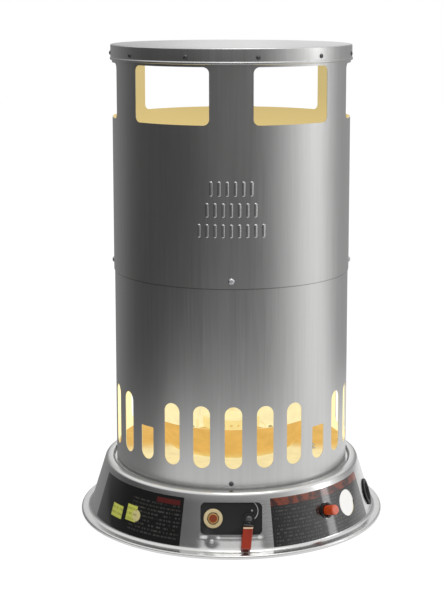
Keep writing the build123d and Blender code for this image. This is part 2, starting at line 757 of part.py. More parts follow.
def button_bezel():
    at = (BUTTON_U, 0)
    ring = pipe(PANEL, BEZEL_R, BUTTON_HEAD_R + MOVE_GAP, -PANEL_DEPTH, -PANEL_DEPTH + BEZEL_H, at)
    circles = ring.edges().filter_by(GeomType.CIRCLE)
    high = [e for e in circles if PANEL.to_local_coords(e.center()).Z > -PANEL_DEPTH + 1]
    return chamfer(high, BEZEL_EDGE)


def coil(plane, spring, low, high, at=(0, 0)):
    """Open compression spring between two faces, half a wire clear of each."""
    radius, wire, turns = spring[:3]
    rise = high - low - 2 * wire
    path = Helix(rise / turns, rise, radius)
    start = Plane(origin=path @ 0, z_dir=path % 0)
    turned = sweep(start * Circle(wire / 2), path=path)
    return plane.location * Location((*at, low + wire)) * turned


def button_spring():
    low = pocket_floor(BUTTON_BACK, BUTTON_TRAVEL, BUTTON_SPRING)
    return coil(PANEL, BUTTON_SPRING, low, BUTTON_BACK, (BUTTON_U, 0))


def control_valve():
    at = (LEVER_U, 0)
    head_end = PLATE_BACK - CONTROL_HEAD_L
    tail_end = PLATE_BACK - CONTROL_BODY_L
    body = rod(PANEL, CONTROL_BODY_R, head_end, PLATE_BACK, at)
    body += rod(PANEL, CONTROL_TAIL_R, tail_end, head_end + 1, at)
    body += block(PANEL, CONTROL_LUG, (LEVER_U, 0, PLATE_BACK - 14))
    body -= rod(PANEL, SPINDLE_R + PIN_GAP, PLATE_BACK - SPINDLE_IN - 2, PLATE_BACK + 1, at)
    return body - rod(PANEL, TUBE_R, tail_end - 1, tail_end + TUBE_SOCKET + 1, at)


def link_tube():
    side = Plane(origin=PANEL.from_local_coords((0, 0, -LINK_DEPTH)), z_dir=(1, 0, 0))
    low = BUTTON_U + SAFETY_BODY_R - MOVE_GAP
    high = LEVER_U - CONTROL_BODY_R + MOVE_GAP
    valves = safety_valve() + control_valve()
    return pipe(side, TUBE_R, TUBE_R - TUBE_WALL, low, high) - valves


def lever_spindle():
    at = (LEVER_U, 0)
    shaft = rod(PANEL, SPINDLE_R, PLATE_BACK - SPINDLE_IN, LEVER_FRONT, at)
    bottom = LEVER_FRONT - LEVER_SCREW[3] - 1
    return shaft - rod(PANEL, LEVER_SCREW[2] + PIN_GAP, bottom, LEVER_FRONT + 1, at)


def lever_frame():
    """Plane at the lever's pivot, turned so that its Y runs along the arm."""
    turn = Location((LEVER_U, 0, 0), (0, 0, -LEVER_LEAN))
    return Plane(PANEL.location * turn)


def control_lever():
    """Red handle: hub on the spindle, arm, and a grip that hangs down."""
    frame = lever_frame()
    wide, thick = LEVER_ARM
    long = GRIP_END - GRIP_TOP
    reach = GRIP_TOP + wide / 2
    hub = rod(frame, LEVER_HUB_R, LEVER_LIFT, LEVER_FRONT)
    arm = block(frame, (wide, reach, thick), (0, -reach / 2, LEVER_LIFT + thick / 2))
    grip = block(
        frame,
        (GRIP_WIDTH, long, GRIP_DEPTH),
        (0, -(GRIP_TOP + GRIP_END) / 2, LEVER_LIFT + GRIP_DEPTH / 2),
    )
    grip = fillet(grip.edges(), GRIP_EDGE)
    return hub + arm + grip - rod(frame, SPINDLE_R, LEVER_LIFT - 1, LEVER_FRONT + 1)


def lever_screw():
    spot = Location((LEVER_U, 0, LEVER_FRONT))
    return screw(Plane(PANEL.location * spot), LEVER_SCREW)


def igniter_body():
    body = rod(IGNITER, IGNITER_BODY_R, -IGNITER_BODY_L, IGNITER_COLLAR_H)
    body += rod(IGNITER, IGNITER_COLLAR_R, 0, IGNITER_COLLAR_H)
    pin_r, pin_l = IGNITER_PIN
    body += rod(IGNITER, pin_r, -IGNITER_BODY_L - pin_l, -IGNITER_BODY_L)
    floor = pocket_floor(IGNITER_BACK, IGNITER_TRAVEL, IGNITER_SPRING)
    return body - rod(IGNITER, IGNITER_BUTTON_R + PIN_GAP, floor, IGNITER_COLLAR_H + 1)


def igniter_nut():
    size, tall, gap = IGNITER_NUT
    nut = hexagon(IGNITER, size, -gap - tall, -gap)
    return nut - rod(IGNITER, IGNITER_BODY_R + PIN_GAP, -gap - tall - 1, -gap + 1)


def igniter_button():
    button = rod(IGNITER, IGNITER_BUTTON_R, IGNITER_BACK, IGNITER_PROUD)
    return fillet(front_edge(button, IGNITER), BUTTON_EDGE)


def igniter_spring():
    low = pocket_floor(IGNITER_BACK, IGNITER_TRAVEL, IGNITER_SPRING)
    return coil(IGNITER, IGNITER_SPRING, low, IGNITER_BACK)


def burner_tube():
    tail_end = PLATE_BACK - CONTROL_BODY_L
    start = PANEL.from_local_coords((LEVER_U, 0, tail_end + TUBE_SOCKET))
    inward = PANEL.z_dir * -1
    points = [
        start,
        start + inward * 36,
        (LEVER_U, -92, HOLDER_MID),
        (0, -54, HOLDER_MID),
        (0, HOLDER_SOCKET - HOLDER_BOSS - 2, HOLDER_MID),
    ]
    return tube(points, [30.0, 30.0, 30.0], TUBE_R, TUBE_R - TUBE_WALL)


def feed_tube():
    tail_end = PLATE_BACK - SAFETY_BODY_L
    start = PANEL.from_local_coords((BUTTON_U, 0, tail_end + TUBE_SOCKET))
    inward = PANEL.z_dir * -1
    points = [
        start,
        start + inward * 50,
        (BUTTON_U + 12, -78, 12.5),
        (40, -66, 12.5),
        (84, HANGER_Y, 24),
        (INLET_FACE_X - 22, HANGER_Y, INLET_H),
        (INLET_FACE_X - 8, HANGER_Y, INLET_H),
    ]
    return tube(points, [26.0, 24.0, 30.0, 24.0, 16.0], FEED_R, FEED_R - TUBE_WALL)


def inlet_fitting():
    """Flare fitting: barrel through the hanger, hexagon, threaded nose."""
    hex_r = INLET_HEX / 2 / cos(pi / 6)
    thread_end = INLET_HEX_L + INLET_THREAD
    body = rod(INLET, STEM_R, -INLET_SHANK, 1) + hexagon(INLET, hex_r, 0, INLET_HEX_L)
    body += rod(INLET, INLET_R, INLET_HEX_L, thread_end)
    nose = Location((0, 0, thread_end + INLET_NOSE / 2))
    body += INLET.location * nose * Cone(INLET_R - 1, INLET_R - 5, INLET_NOSE)
    body -= rod(INLET, INLET_BORE_R, -INLET_SHANK - 1, thread_end + INLET_NOSE + 1)
    return body - rod(INLET, FEED_R, -INLET_SHANK - 1, TUBE_SOCKET - INLET_SHANK)


def inlet_nut():
    nut = hexagon(INLET, NUT_R, -STRAP - NUT_H, -STRAP)
    return nut - rod(INLET, STEM_R + PIN_GAP, -INLET_SHANK, 0)


def inlet_hanger():
    """Strap from the deck that holds the inlet in line with the hose hole."""
    foot_l, wide = HANGER
    low = INLET_H - HANGER_DROP
    face = INLET_FACE_X
    middle = (face - STRAP / 2, HANGER_Y, (NECK_TOP + low) / 2)
    leg = block(Plane.XY, (STRAP, wide, NECK_TOP - low), middle)
    foot = block(Plane.XY, (foot_l, wide, STRAP), (face - foot_l / 2, HANGER_Y, NECK_TOP - STRAP / 2))
    cuts = [screw_hole(p, DECK_SCREW) for p in HANGER_SPOTS]
    cuts.append(rod(INLET, STEM_R + SCREW_CLEARANCE, -THROUGH, THROUGH))
    return leg + foot - cuts


def hose_grommet():
    """Rubber ring with a lip on each side of the skirt."""
    groove = BASE_SHEET + GROMMET_GRIP
    out_r = HOSE_HOLE_R + GROMMET_LIP
    near = SLIDE_GAP / 2
    ring = rod(HOSE_HOLE, HOSE_HOLE_R - SLIDE_GAP, -groove, near + 1)
    ring += rod(HOSE_HOLE, out_r, near, near + GROMMET_LIP_H)
    ring += rod(HOSE_HOLE, out_r, -groove - GROMMET_LIP_H, -groove)
    return ring - rod(HOSE_HOLE, HOSE_HOLE_R - GROMMET_WALL, -THROUGH, THROUGH)


def decal(span):
    """Thin printed sheet on the cone between two azimuths."""
    tilt = radians(CONE_TILT)
    corners = []
    near, far = DECAL_GAP, DECAL_GAP + DECAL
    for height, away in ((DECAL_LOW, near), (DECAL_LOW, far), (DECAL_HIGH, far), (DECAL_HIGH, near)):
        corners.append((cone_radius(height) + away * cos(tilt), height + away * sin(tilt)))
    face = Plane.XZ * make_face(Polyline(*corners, close=True))
    sheet = revolve(face, Axis.Z, revolution_arc=span[1] - span[0])
    return Rot(0, 0, span[0] - 90) * sheet


def right_label():
    cuts = [
        rod(LIGHT_HOLE, LIGHT_HOLE_R + MOVE_GAP, -THROUGH, THROUGH),
        rod(IGNITER, IGNITER_COLLAR_R + MOVE_GAP, -THROUGH, THROUGH),
    ]
    return decal(RIGHT_DECAL) - cuts


def main():
    write("base_skirt", base_skirt())
    write("deck_plate", deck_plate())
    write("lower_shell", lower_shell())
    write("upper_shell", upper_shell())
    write("lid", lid())
    write("lid_screws", group([screw(p, LID_SCREW) for p in LID_SPOTS]))
    write("seam_screws", group([screw(p, SEAM_SCREW) for p in SEAM_SPOTS]))
    write("foot_screws", group([screw(p, FOOT_SCREW) for p in FOOT_SPOTS]))
    inside = DECK_SPOTS + STRAP_SPOTS + HANGER_SPOTS + BOWL_SPOTS
    write("deck_screws", group([screw(p, DECK_SCREW) for p in inside]))
    write("plate_screw", screw(PLATE_SCREW_SPOT, FOOT_SCREW))
    write("flame_bowl", flame_bowl())
    write("burner_head", burner_head())
    write("burner_cap", burner_cap())
    write("cap_stud", cap_stud())
    write("cap_nut", cap_nut())
    write("venturi_tube", venturi_tube())
    write("venturi_bracket", venturi_bracket())
    write("jet_holder", jet_holder())
    write("jet_nut", jet_nut())
    write("gas_jet", gas_jet())
    write("electrode", electrode())
    write("electrode_insulator", electrode_insulator())
    write("electrode_clip", electrode_clip())
    write("spark_lead", spark_lead())
    write("thermocouple", thermocouple())
    write("thermocouple_nuts", thermocouple_nuts())
    write("thermocouple_lead", thermocouple_lead())
    write("control_plate", control_plate())
    write("safety_valve", safety_valve())
    write("valve_button", valve_button())
    write("button_bezel", button_bezel())
    write("button_spring", button_spring())
    write("control_valve", control_valve())
    write("link_tube", link_tube())
    write("lever_spindle", lever_spindle())
    write("control_lever", control_lever())
    write("lever_screw", lever_screw())
    write("igniter_body", igniter_body())
    write("igniter_nut", igniter_nut())
    write("igniter_button", igniter_button())
    write("igniter_spring", igniter_spring())
    write("burner_tube", burner_tube())
    write("feed_tube", feed_tube())
    write("inlet_fitting", inlet_fitting())
    write("inlet_nut", inlet_nut())
    write("inlet_hanger", inlet_hanger())
    write("hose_grommet", hose_grommet())
    write("left_label", decal(LEFT_DECAL))
    write("right_label", right_label())


main()
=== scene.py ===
import json
from math import cos, pi, radians, sin, sqrt, tan

import bpy
from mathutils import Matrix, Vector

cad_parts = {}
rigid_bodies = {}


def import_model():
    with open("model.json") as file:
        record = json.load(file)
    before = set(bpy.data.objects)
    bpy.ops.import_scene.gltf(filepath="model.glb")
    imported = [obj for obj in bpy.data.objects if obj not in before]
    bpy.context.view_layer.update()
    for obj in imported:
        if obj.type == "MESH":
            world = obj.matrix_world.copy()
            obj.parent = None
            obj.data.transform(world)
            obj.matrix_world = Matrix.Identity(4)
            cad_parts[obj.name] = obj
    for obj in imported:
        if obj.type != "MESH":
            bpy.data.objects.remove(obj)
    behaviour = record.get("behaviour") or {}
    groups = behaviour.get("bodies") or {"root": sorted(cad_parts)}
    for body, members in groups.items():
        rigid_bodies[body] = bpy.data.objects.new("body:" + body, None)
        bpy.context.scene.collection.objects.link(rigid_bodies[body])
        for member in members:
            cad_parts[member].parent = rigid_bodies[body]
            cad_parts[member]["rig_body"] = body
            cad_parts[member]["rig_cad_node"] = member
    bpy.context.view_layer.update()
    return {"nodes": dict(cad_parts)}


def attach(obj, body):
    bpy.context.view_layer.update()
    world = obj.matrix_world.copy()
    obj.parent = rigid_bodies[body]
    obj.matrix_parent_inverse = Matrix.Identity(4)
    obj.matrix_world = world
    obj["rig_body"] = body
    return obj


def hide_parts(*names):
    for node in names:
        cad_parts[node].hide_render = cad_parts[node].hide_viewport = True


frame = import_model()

# Propane convection heater. Sizes are in millimetres and azimuths in degrees:
# 0 is the front, towards -Y, and 90 the right side seen from the front.
MM = 0.001
HEIGHT = 716.0
SHELL_R = 177.0
UPPER_R = 178.2
LID_R = 180.4
SHEET = 1.0
BASE_SHEET = 1.2
SIDES = 288
SKIRT_SIDES = 360
SMOOTH_BELOW = 30.0
CAD_SMOOTH_BELOW = 35.0
WELD = 0.00001

# Skirt
NECK_R = 175.8
NECK_LIP = 13.8
NECK_TOP = 104.0
LEDGE_H = 81.0
LEDGE_RUN = 4.6
SHOULDER_R = 193.9
SHOULDER_H = 85.0
CREST_RUN = 11.3
CREST_RISE = 1.0
CONE_FOOT_R = 218.6
CONE_LEAN = 17.36
FLANGE_R = 232.5
FLANGE_H = 6.0
HEM = 6.5
SKIRT_BENDS = (2.0, 0.2, 1.4, 2.4, 6.0, 6.0, 2.4, 2.4)
PRESS_DEPTH = 2.4
PRESS_HALF = 41.0
PRESS_LOW = 8.0
PRESS_HIGH = 22.5
PRESS_FADE_UP = 4.0
PRESS_FADE_SIDE = 6.0
SCREW_AT = (-28.0, 19.5)
SCREW_LAND = 5.0
CONE_ROWS = (70, 58, 46, 34, 26, 23, 21, 19, 17, 15, 13)

# Shells
SEAM_H = 378.4
LAP = 22.0
LOWER_RINGS = 12
UPPER_RINGS = 15
UPPER_RING_STEP = 24.0
SLOT_COUNT = 24
SLOT_WIDTH = 25.0
SLOT_LOW = 114.8
SLOT_HIGH = 206.3
SHORT_SLOT_HIGH = 164.3
SHORT_SLOT_CORNER = 1.2
SHORT_SLOTS = (3, 9, 15, 21)
SLOT_TURN = 1.0
WINDOW_COUNT = 6
WINDOW_ANGLE = 40.0
WINDOW_LOW = 608.6
WINDOW_HIGH = 689.5
WINDOW_CORNER = 8.5
RIB_WIDTH = 5.0
RIB_PITCH = 11.5
RIB_RAISE = 1.2
RIB_ROWS = ((520.2, 21.8, 6), (490.0, 20.9, 7), (460.6, 19.9, 9))
LID_RIM = 23.0
LID_LIP = 0.8
LID_LIP_IN = 0.1
LID_LIP_H = (0.7, 2.6, 4.2)
LID_BENDS = (0.6, 0.7, 0.7, 2.0)
LID_FILL_R = 4.0

# Openings and controls in the skirt
PANEL_H = 51.0
PANEL_WIDTH = 88.0
PANEL_TALL = 45.0
PANEL_CORNER = 7.0
BUTTON_U = -26.0
IGNITER_AZ = 42.0
IGNITER_H = 45.0
IGNITER_R = 9.0
IGNITER_COLLAR_R = 11.9
LIGHT_HOLE = (56.0, 43.5, 19.0)
HOSE_HOLE = (80.0, 33.0, 17.0)
LIGHT_HOLE_CLEAR = 0.4
DECAL = 0.3
DECAL_GAP = 0.05
DECAL_LOW = 10.0
DECAL_HIGH = 75.5
LEFT_DECAL = (-69.0, -20.0)
RIGHT_DECAL = (16.3, 70.0)

# Depth of the blocks that cut the openings
WINDOW_CUT = 60.0
SLOT_CUT = 40.0
HOLE_CUT = 30.0

# Inner wall of the flame bowl, which widens by a share of its height
BOWL_FOOT_R = 97.0
BOWL_FOOT_H = 106.2
BOWL_SPREAD = 36.0 / 53.8

# Depths below an outer face between which its sheet turns from bare to its inner side, which carries
# painted flame light
INNER_FROM = 0.7
INNER_TO = 0.9

# Printed areas: azimuth, half its span, height and half its span
LEFT_PRINT = (-33.0, 12.0, 39.0, 24.0)
RED_STRIP = (-27.0, 5.5, 67.5, 3.5)
YELLOW_PATCHES = ((-53.4, 3.6, 34.5, 9.0), (-44.4, 2.9, 39.5, 11.0))
RIGHT_PRINT = (43.0, 25.5, 37.0, 25.5)
HEADER_LOW = 64.5
DISC_AT = (-41.6, 38.0)
DISC_R = 8.4
DISC_MM_PER_DEGREE = 3.6

# Printed arc and dot beside the lever, and the colour bands of the lever and the button
ARC_AT = (23.5, 58.5)
ARC_R = 14.6
ARC_MIDDLE = 74.0
ARC_HALF = 76.0
DOT_AT = (6.0, 0.5)
# Printed arc and dot beside the lever, the colour bands of the lever and the button, and a painted
# highlight line across the lever's grip
DOT_R = 1.5
GRIP_DROP = 5.6
GRIP_HIGHLIGHT_DROP = 7.6
BUTTON_CENTRE_R = 5.6
BUTTON_RIM_R = 6.6

# Camera, fitted to the 444 x 600 picture
CAMERA_BACK = 2226.1
CAMERA_H = 794.0
CAMERA_TILT = 8.416
CAMERA_LENS = 88.93
CAMERA_SHIFT = (-0.01558, -0.15)
CAMERA_SEES = 100.0

# Studio: lengths in metres, and brightness changes by (from azimuth, to azimuth, change)
FLOOR_SIZE = 16.0
FLOOR_FADE = (0.5, 1.05)
FLOOR_SHADOW = 0.3
FLOOR_NEAR = 1.05
FLOOR_LEFT_DROP = 0.75
FLOOR_SEEN = (1.2, 1.2, 1.2, 1.0)
ROOM_LOW = 0.08
ROOM_STEPS = ((-36.0, -10.0, 0.09), (18.0, 90.0, 1.06), (88.0, 122.0, -0.80), (-92.0, -150.0, 0.24))
SKY_RISE = (14.0, 36.0)
SKY_LEVEL = 0.8
SKY_GLOSS = 0.3
STRIP_LEVEL = 3.4


def cone_radius(height):
    share = (SHOULDER_H - height) / (SHOULDER_H - FLANGE_H)
    return SHOULDER_R + share * (CONE_FOOT_R - SHOULDER_R)


def wall_frame(azimuth, radius, height, lean=0.0):
    """Millimetre frame on a wall: X to the right, Y up, Z outwards, leaning back by an angle."""
    turn, tilt = radians(azimuth), radians(lean)
    flat = Vector((sin(turn), -cos(turn), 0))
    across = Vector((cos(turn), sin(turn), 0))
    normal = flat * cos(tilt) + Vector((0, 0, sin(tilt)))
    axes = Matrix((across, normal.cross(across), normal)).transposed().to_4x4()
    place = flat * radius * MM + Vector((0, 0, height * MM))
    return Matrix.Translation(place) @ axes @ Matrix.Scale(MM, 4)


def cone_frame(azimuth, height):
    return wall_frame(azimuth, cone_radius(height), height, CONE_LEAN)


def rounded(points, radii, steps=6):
    """Outline whose inner corners are arcs of the given radii."""
    line = [Vector(points[0])]
    for before, corner, after, radius in zip(points, points[1:], points[2:], radii):
        corner = Vector(corner)
        back = (Vector(before) - corner).normalized()
        ahead = (Vector(after) - corner).normalized()
        half = back.angle(ahead) / 2
        middle = corner + (back + ahead).normalized() * radius / sin(half)
        start = corner + back * radius / tan(half) - middle
        end = corner + ahead * radius / tan(half) - middle
        arc = pi - 2 * half
        for i in range(steps + 1):
            share = i / steps
            line.append(middle + (start * sin((1 - share) * arc) + end * sin(share * arc)) / sin(arc))
    return line + [Vector(points[-1])]


def clear():
    bpy.ops.object.select_all(action="DESELECT")


def choose(*pieces):
    clear()
    for piece in pieces:
        piece.select_set(True)
    bpy.context.view_layer.objects.active = pieces[0]


def editing(piece):
    choose(piece)
    bpy.ops.object.mode_set(mode="EDIT")
    bpy.ops.mesh.select_all(action="SELECT")


def finished(name):
    """Names the active object and leaves its place in its mesh."""
    if bpy.context.object.mode == "EDIT":
        bpy.ops.object.mode_set(mode="OBJECT")
    piece = bpy.context.object
    piece.name = piece.data.name = name
    choose(piece)
    bpy.ops.object.transform_apply(location=True, rotation=True, scale=True)
    return piece


def turned(name, outline, sides=SIDES):
    """Skin turned round the upright axis: a ring drawn on from one (radius, height) to the next."""
    clear()
    radius, height = outline[0]
    bpy.ops.mesh.primitive_circle_add(vertices=sides, radius=radius * MM, location=(0, 0, height * MM))
    piece = finished(name)
    editing(piece)
    for next_radius, next_height in outline[1:]:
        rise = {"value": (0, 0, (next_height - height) * MM)}
        bpy.ops.mesh.extrude_region_move(TRANSFORM_OT_translate=rise)
        grow = next_radius / radius
        bpy.ops.transform.resize(value=(grow, grow, 1), center_override=(0, 0, next_height * MM))
        radius, height = next_radius, next_height
    return finished(name)


def fill_last_ring():
    """Closes the ring that was drawn last."""
    bpy.ops.object.mode_set(mode="EDIT")
    bpy.ops.mesh.edge_face_add()
    bpy.ops.object.mode_set(mode="OBJECT")


def outward(piece):
    """Turns an open skin so that its faces look away from the axis, or up."""
    editing(piece)
    bpy.ops.mesh.normals_make_consistent(inside=False)
    bpy.ops.object.mode_set(mode="OBJECT")
    leaning = sum(
        face.area * (face.normal.x * face.center.x + face.normal.y * face.center.y)
        for face in piece.data.polygons
    )
    if leaning < 0:
        editing(piece)
        bpy.ops.mesh.flip_normals()
        bpy.ops.object.mode_set(mode="OBJECT")


def apply_modifier(piece, kind, **settings):
    choose(piece)
    modifier = piece.modifiers.new(kind.title(), kind)
    for name, value in settings.items():
        setattr(modifier, name, value)
    bpy.ops.object.modifier_apply(modifier=modifier.name)


def thicken(piece, thickness):
    """Gives an outer skin its sheet thickness on the inside."""
    outward(piece)
    apply_modifier(piece, "SOLIDIFY", thickness=thickness * MM, offset=-1.0, use_even_offset=True)


def cut(piece, cutters):
    """Cuts the joined cutters out of a piece."""
    tool = joined(cutters, "cutter")
    apply_modifier(piece, "BOOLEAN", operation="DIFFERENCE", object=tool, solver="EXACT")
    bpy.data.objects.remove(tool)


def joined(pieces, name):
    choose(*pieces)
    if len(pieces) > 1:
        bpy.ops.object.join()
    return finished(name)


def smooth(piece, angle=SMOOTH_BELOW):
    choose(piece)
    bpy.ops.object.shade_smooth_by_angle(angle=radians(angle))


def edges_along(piece, axis, test):
    """Selects the edges that run along an axis and whose middle passes a test."""
    bpy.ops.mesh.select_mode(type="EDGE")
    bpy.ops.mesh.select_all(action="DESELECT")
    bpy.ops.object.mode_set(mode="OBJECT")
    spots = piece.data.vertices
    for edge in piece.data.edges:
        first, second = (spots[i].co for i in edge.vertices)
        run = (second - first).normalized()
        edge.select = abs(run[axis]) > 0.99 and test((first + second) / 2)
    bpy.ops.object.mode_set(mode="EDIT")


def bar(name, wide, tall, deep, corners, steps=10):
    """Block with its four upright corners rounded: (lower radius, upper radius), in its own frame."""
    clear()
    bpy.ops.mesh.primitive_cube_add(size=1.0)
    piece = finished(name)
    piece.data.transform(Matrix.Diagonal((wide, tall, deep, 1)))
    for radius, side in zip(corners, (-1, 1)):
        if radius:
            editing(piece)
            edges_along(piece, 2, lambda middle: middle.y * side > 0)
            bpy.ops.mesh.bevel(offset=radius, segments=steps, affect="EDGES", clamp_overlap=False)
            bpy.ops.mesh.select_all(action="SELECT")
            bpy.ops.mesh.remove_doubles(threshold=0.001)
            bpy.ops.object.mode_set(mode="OBJECT")
    return piece


def drum(name, radius, deep, sides=64):
    clear()
    bpy.ops.mesh.primitive_cylinder_add(vertices=sides, radius=radius, depth=deep)
    return finished(name)


def placed(piece, matrix):
    """Puts a piece modelled in its own frame on the heater."""
    piece.data.transform(matrix)
    return piece


def again(piece, name, matrix):
    """Another copy of a piece, with its own mesh."""
    copy = piece.copy()
    copy.data = piece.data.copy()
    copy.name = copy.data.name = name
    bpy.context.scene.collection.objects.link(copy)
    return placed(copy, matrix)


def clad(piece, material):
    piece.data.materials.clear()
    piece.data.materials.append(material)


def stand_for(piece, node, material):
    """The piece takes a node's place and body, in a material."""
    clad(piece, material)
    body = frame["nodes"][node]["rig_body"]
    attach(piece, body)
    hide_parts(node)


class Wire:
    """One value in a node tree, with Python's operators for its maths."""

    def __init__(self, tree, socket):
        self.tree = tree
        self.socket = socket

    def math(self, operation, *others, clamp=False):
        inputs = dict(enumerate((self,) + others))
        return self.tree.node("ShaderNodeMath", inputs, operation=operation, use_clamp=clamp)

    def __add__(self, other):
        return self.math("ADD", other)

    __radd__ = __add__

    def __sub__(self, other):
        return self.math("SUBTRACT", other)

    def __rsub__(self, other):
        return self.math("MULTIPLY", -1.0) + other

    def __mul__(self, other):
        return self.math("MULTIPLY", other)

    __rmul__ = __mul__

    def __truediv__(self, other):
        return self.math("DIVIDE", other)

    def __abs__(self):
        return self.math("ABSOLUTE")

    def clamped(self):
        return self.math("ADD", 0.0, clamp=True)

    def near(self, middle, half, soft):
        """1 within half of the middle, falling to 0 over a soft edge."""
        return self.tree.step(abs(self - middle), half + soft, half - soft)

    def most(self, other):
        return self.math("MAXIMUM", other)


class Tree:
    """A node tree and the nodes that its maker adds to it."""

    def __init__(self, tree):
        self.tree = tree

    def node(self, kind, inputs=None, output=0, **settings):
        """Adds a node: its settings first, then the values or links of its sockets."""
        made = self.tree.nodes.new(kind)
        for name, value in settings.items():
            setattr(made, name, value)
        for key, value in (inputs or {}).items():
            self.plug(value, made.inputs[key])
        return Wire(self, made.outputs[output]) if made.outputs else made

    def plug(self, value, socket):
        if isinstance(value, Wire):
            self.tree.links.new(value.socket, socket)
        else:
            socket.default_value = value

    def mix(self, factor, first, second):
        return self.node("ShaderNodeMix", {0: factor, 6: first, 7: second}, output=2, data_type="RGBA")

    def step(self, value, low, high):
        """Smooth step from 0 at low to 1 at high, or down where low is the larger."""
        inputs = {0: value, 1: low, 2: high}
        return self.node("ShaderNodeMapRange", inputs, interpolation_type="SMOOTHSTEP")

    def split(self, vector):
        wire = self.node("ShaderNodeSeparateXYZ", {0: vector})
        outputs = wire.socket.node.outputs
        return [Wire(self, socket) for socket in outputs]

    def join(self, x, y, z):
        return self.node("ShaderNodeCombineXYZ", {0: x, 1: y, 2: z})


class Finish(Tree):
    """A material on a Principled shader, in object coordinates."""

    def __init__(self, name, **fixed):
        self.material = bpy.data.materials.new(name)
        self.material.use_nodes = True
        super().__init__(self.material.node_tree)
        self.shader = self.tree.nodes["Principled BSDF"]
        self.place = self.node("ShaderNodeTexCoord", output=3)
        for name, value in fixed.items():
            self.set(name.replace("_", " ").title().replace("Ior", "IOR"), value)

    def set(self, socket, value):
        self.plug(value, self.shader.inputs[socket])

    def noise(self, scale, stretch=(1, 1, 1), detail=4.0, roughness=0.5):
        inputs = {"Vector": self.place, "Scale": stretch}
        spot = self.node("ShaderNodeMapping", inputs)
        inputs = {"Vector": spot, "Scale": scale, "Detail": detail, "Roughness": roughness}
        return self.node("ShaderNodeTexNoise", inputs)

    def bump(self, height, depth, strength=1.0):
        inputs = {"Height": height, "Distance": depth, "Strength": strength}
        self.set("Normal", self.node("ShaderNodeBump", inputs))


def rgb(red, green, blue):
    """Colour from screen values of 0 to 255."""
    def straight(value):
        value /= 255
        return value / 12.92 if value <= 0.04045 else ((value + 0.055) / 1.055) ** 2.4
    return (straight(red), straight(green), straight(blue), 1.0)


BLACK = (0.0, 0.0, 0.0, 1.0)
WHITE = (1.0, 1.0, 1.0, 1.0)
STEEL = (0.60, 0.60, 0.595, 1.0)
STEEL_DARK = (0.50, 0.50, 0.495, 1.0)


def length(x, y):
    return (x * x + y * y).math("SQRT")


def in_degrees(angle):
    return angle * (180 / pi)


def azimuth_of(x, y):
    return in_degrees(x.math("ARCTAN2", y * -1.0))


def from_axis(finish):
    """Distance from the upright axis, and height, in millimetres, and azimuth in degrees."""
    x, y, z = finish.split(finish.place)
    return length(x, y) / MM, z / MM, azimuth_of(x, y)


def brushed_sheet(name, outside_r, glow, shaded=None, top=None):
    """Sheet steel brushed upright outside; its inner side is warm-toned and glows with painted flame light
    by emission.
    """
    finish = Finish(name, metallic=1.0, emission_strength=1.0)
    radius, height, _ = from_axis(finish)
    hairs = finish.noise(900, (1, 1, 0.012), detail=3.0)
    strands = finish.noise(160, (1, 1, 0.02), detail=2.0)
    clouds = finish.noise(9, (1, 1, 0.6), detail=3.0)
    shade = (hairs * 0.5 + strands * 0.3 + clouds * 0.2 - 0.5) * 2.2 + 0.5
    inside = finish.step(radius, outside_r - INNER_FROM, outside_r - INNER_TO)
    if top:
        inside = inside * finish.step(height, top - INNER_FROM, top - INNER_TO)
    warm = finish.mix(inside, STEEL_DARK, rgb(150, 128, 84))
    bare = finish.mix(shade.clamped(), STEEL_DARK, STEEL)
    # Painted shade: where the given mask says, the bare face darkens towards near black.
    if shaded:
        bare = finish.mix(shaded(finish, height), bare, (0.12, 0.12, 0.12, 1))
    finish.set("Base Color", finish.mix(inside, bare, warm))
    finish.set("Metallic", 1.0 - inside * 0.7)
    finish.set("Roughness", 0.24 + hairs * 0.14 + clouds * 0.06)
    # Painted flame light: the inner side glows in the colour that glow gives.
    finish.set("Emission Color", finish.mix(inside, BLACK, glow(finish, height)))
    finish.bump(hairs, 0.00003, 0.5)
    return finish.material


# Painted flame light inside the lower shell, brighter towards the bottom.
def lower_glow(finish, height):
    rising = finish.step(height, 300.0, 110.0)
    return finish.mix(rising, rgb(235, 220, 150), rgb(250, 240, 188))


# Painted flame light inside the upper shell, brighter towards the bottom.
def upper_glow(finish, height):
    rising = finish.step(height, 640.0, 480.0)
    return finish.mix(rising, rgb(172, 162, 116), rgb(200, 188, 136))


# Painted flame light on the lid's inner faces.
def lid_glow(finish, height):
    return rgb(190, 172, 104)


def seam_shade(finish, height):
    """Painted shade: a thin dark line on the lower shell, just below where the upper one laps over it."""
    return height.near(SEAM_H - 0.9, 0.7, 0.5) * 0.6


def lid_shade(finish, height):
    """Painted shade on the brushed top: darker towards the left, and a little towards the right."""
    across = finish.split(finish.place)[0] / MM
    top = finish.step(height, HEIGHT - 0.4, HEIGHT - 0.2)
    left = finish.step(across, -20.0, -150.0)
    right = finish.step(across, 30.0, 90.0)
    return top * (left * 0.62 + right * 0.2)


def spun_steel():
    """Base metal with fine turning lines round the axis."""
    finish = Finish("spun_steel", metallic=1.0)
    radius, height, _ = from_axis(finish)
    rings = finish.node("ShaderNodeTexNoise", {
        "Vector": finish.join(radius * 0.6, 0.0, height * 0.6), "Scale": 4.0, "Detail": 4.0,
    })
    clouds = finish.noise(14, detail=4.0)
    shade = (rings * 0.6 + clouds * 0.4 - 0.5) * 1.6 + 0.5
    dull, bright = (0.55, 0.55, 0.545, 1.0), (0.68, 0.68, 0.675, 1.0)
    finish.set("Base Color", finish.mix(shade.clamped(), dull, bright))
    finish.set("Roughness", 0.16 + rings * 0.10 + clouds * 0.08)
    finish.bump(rings, 0.00004, 0.4)
    return finish.material


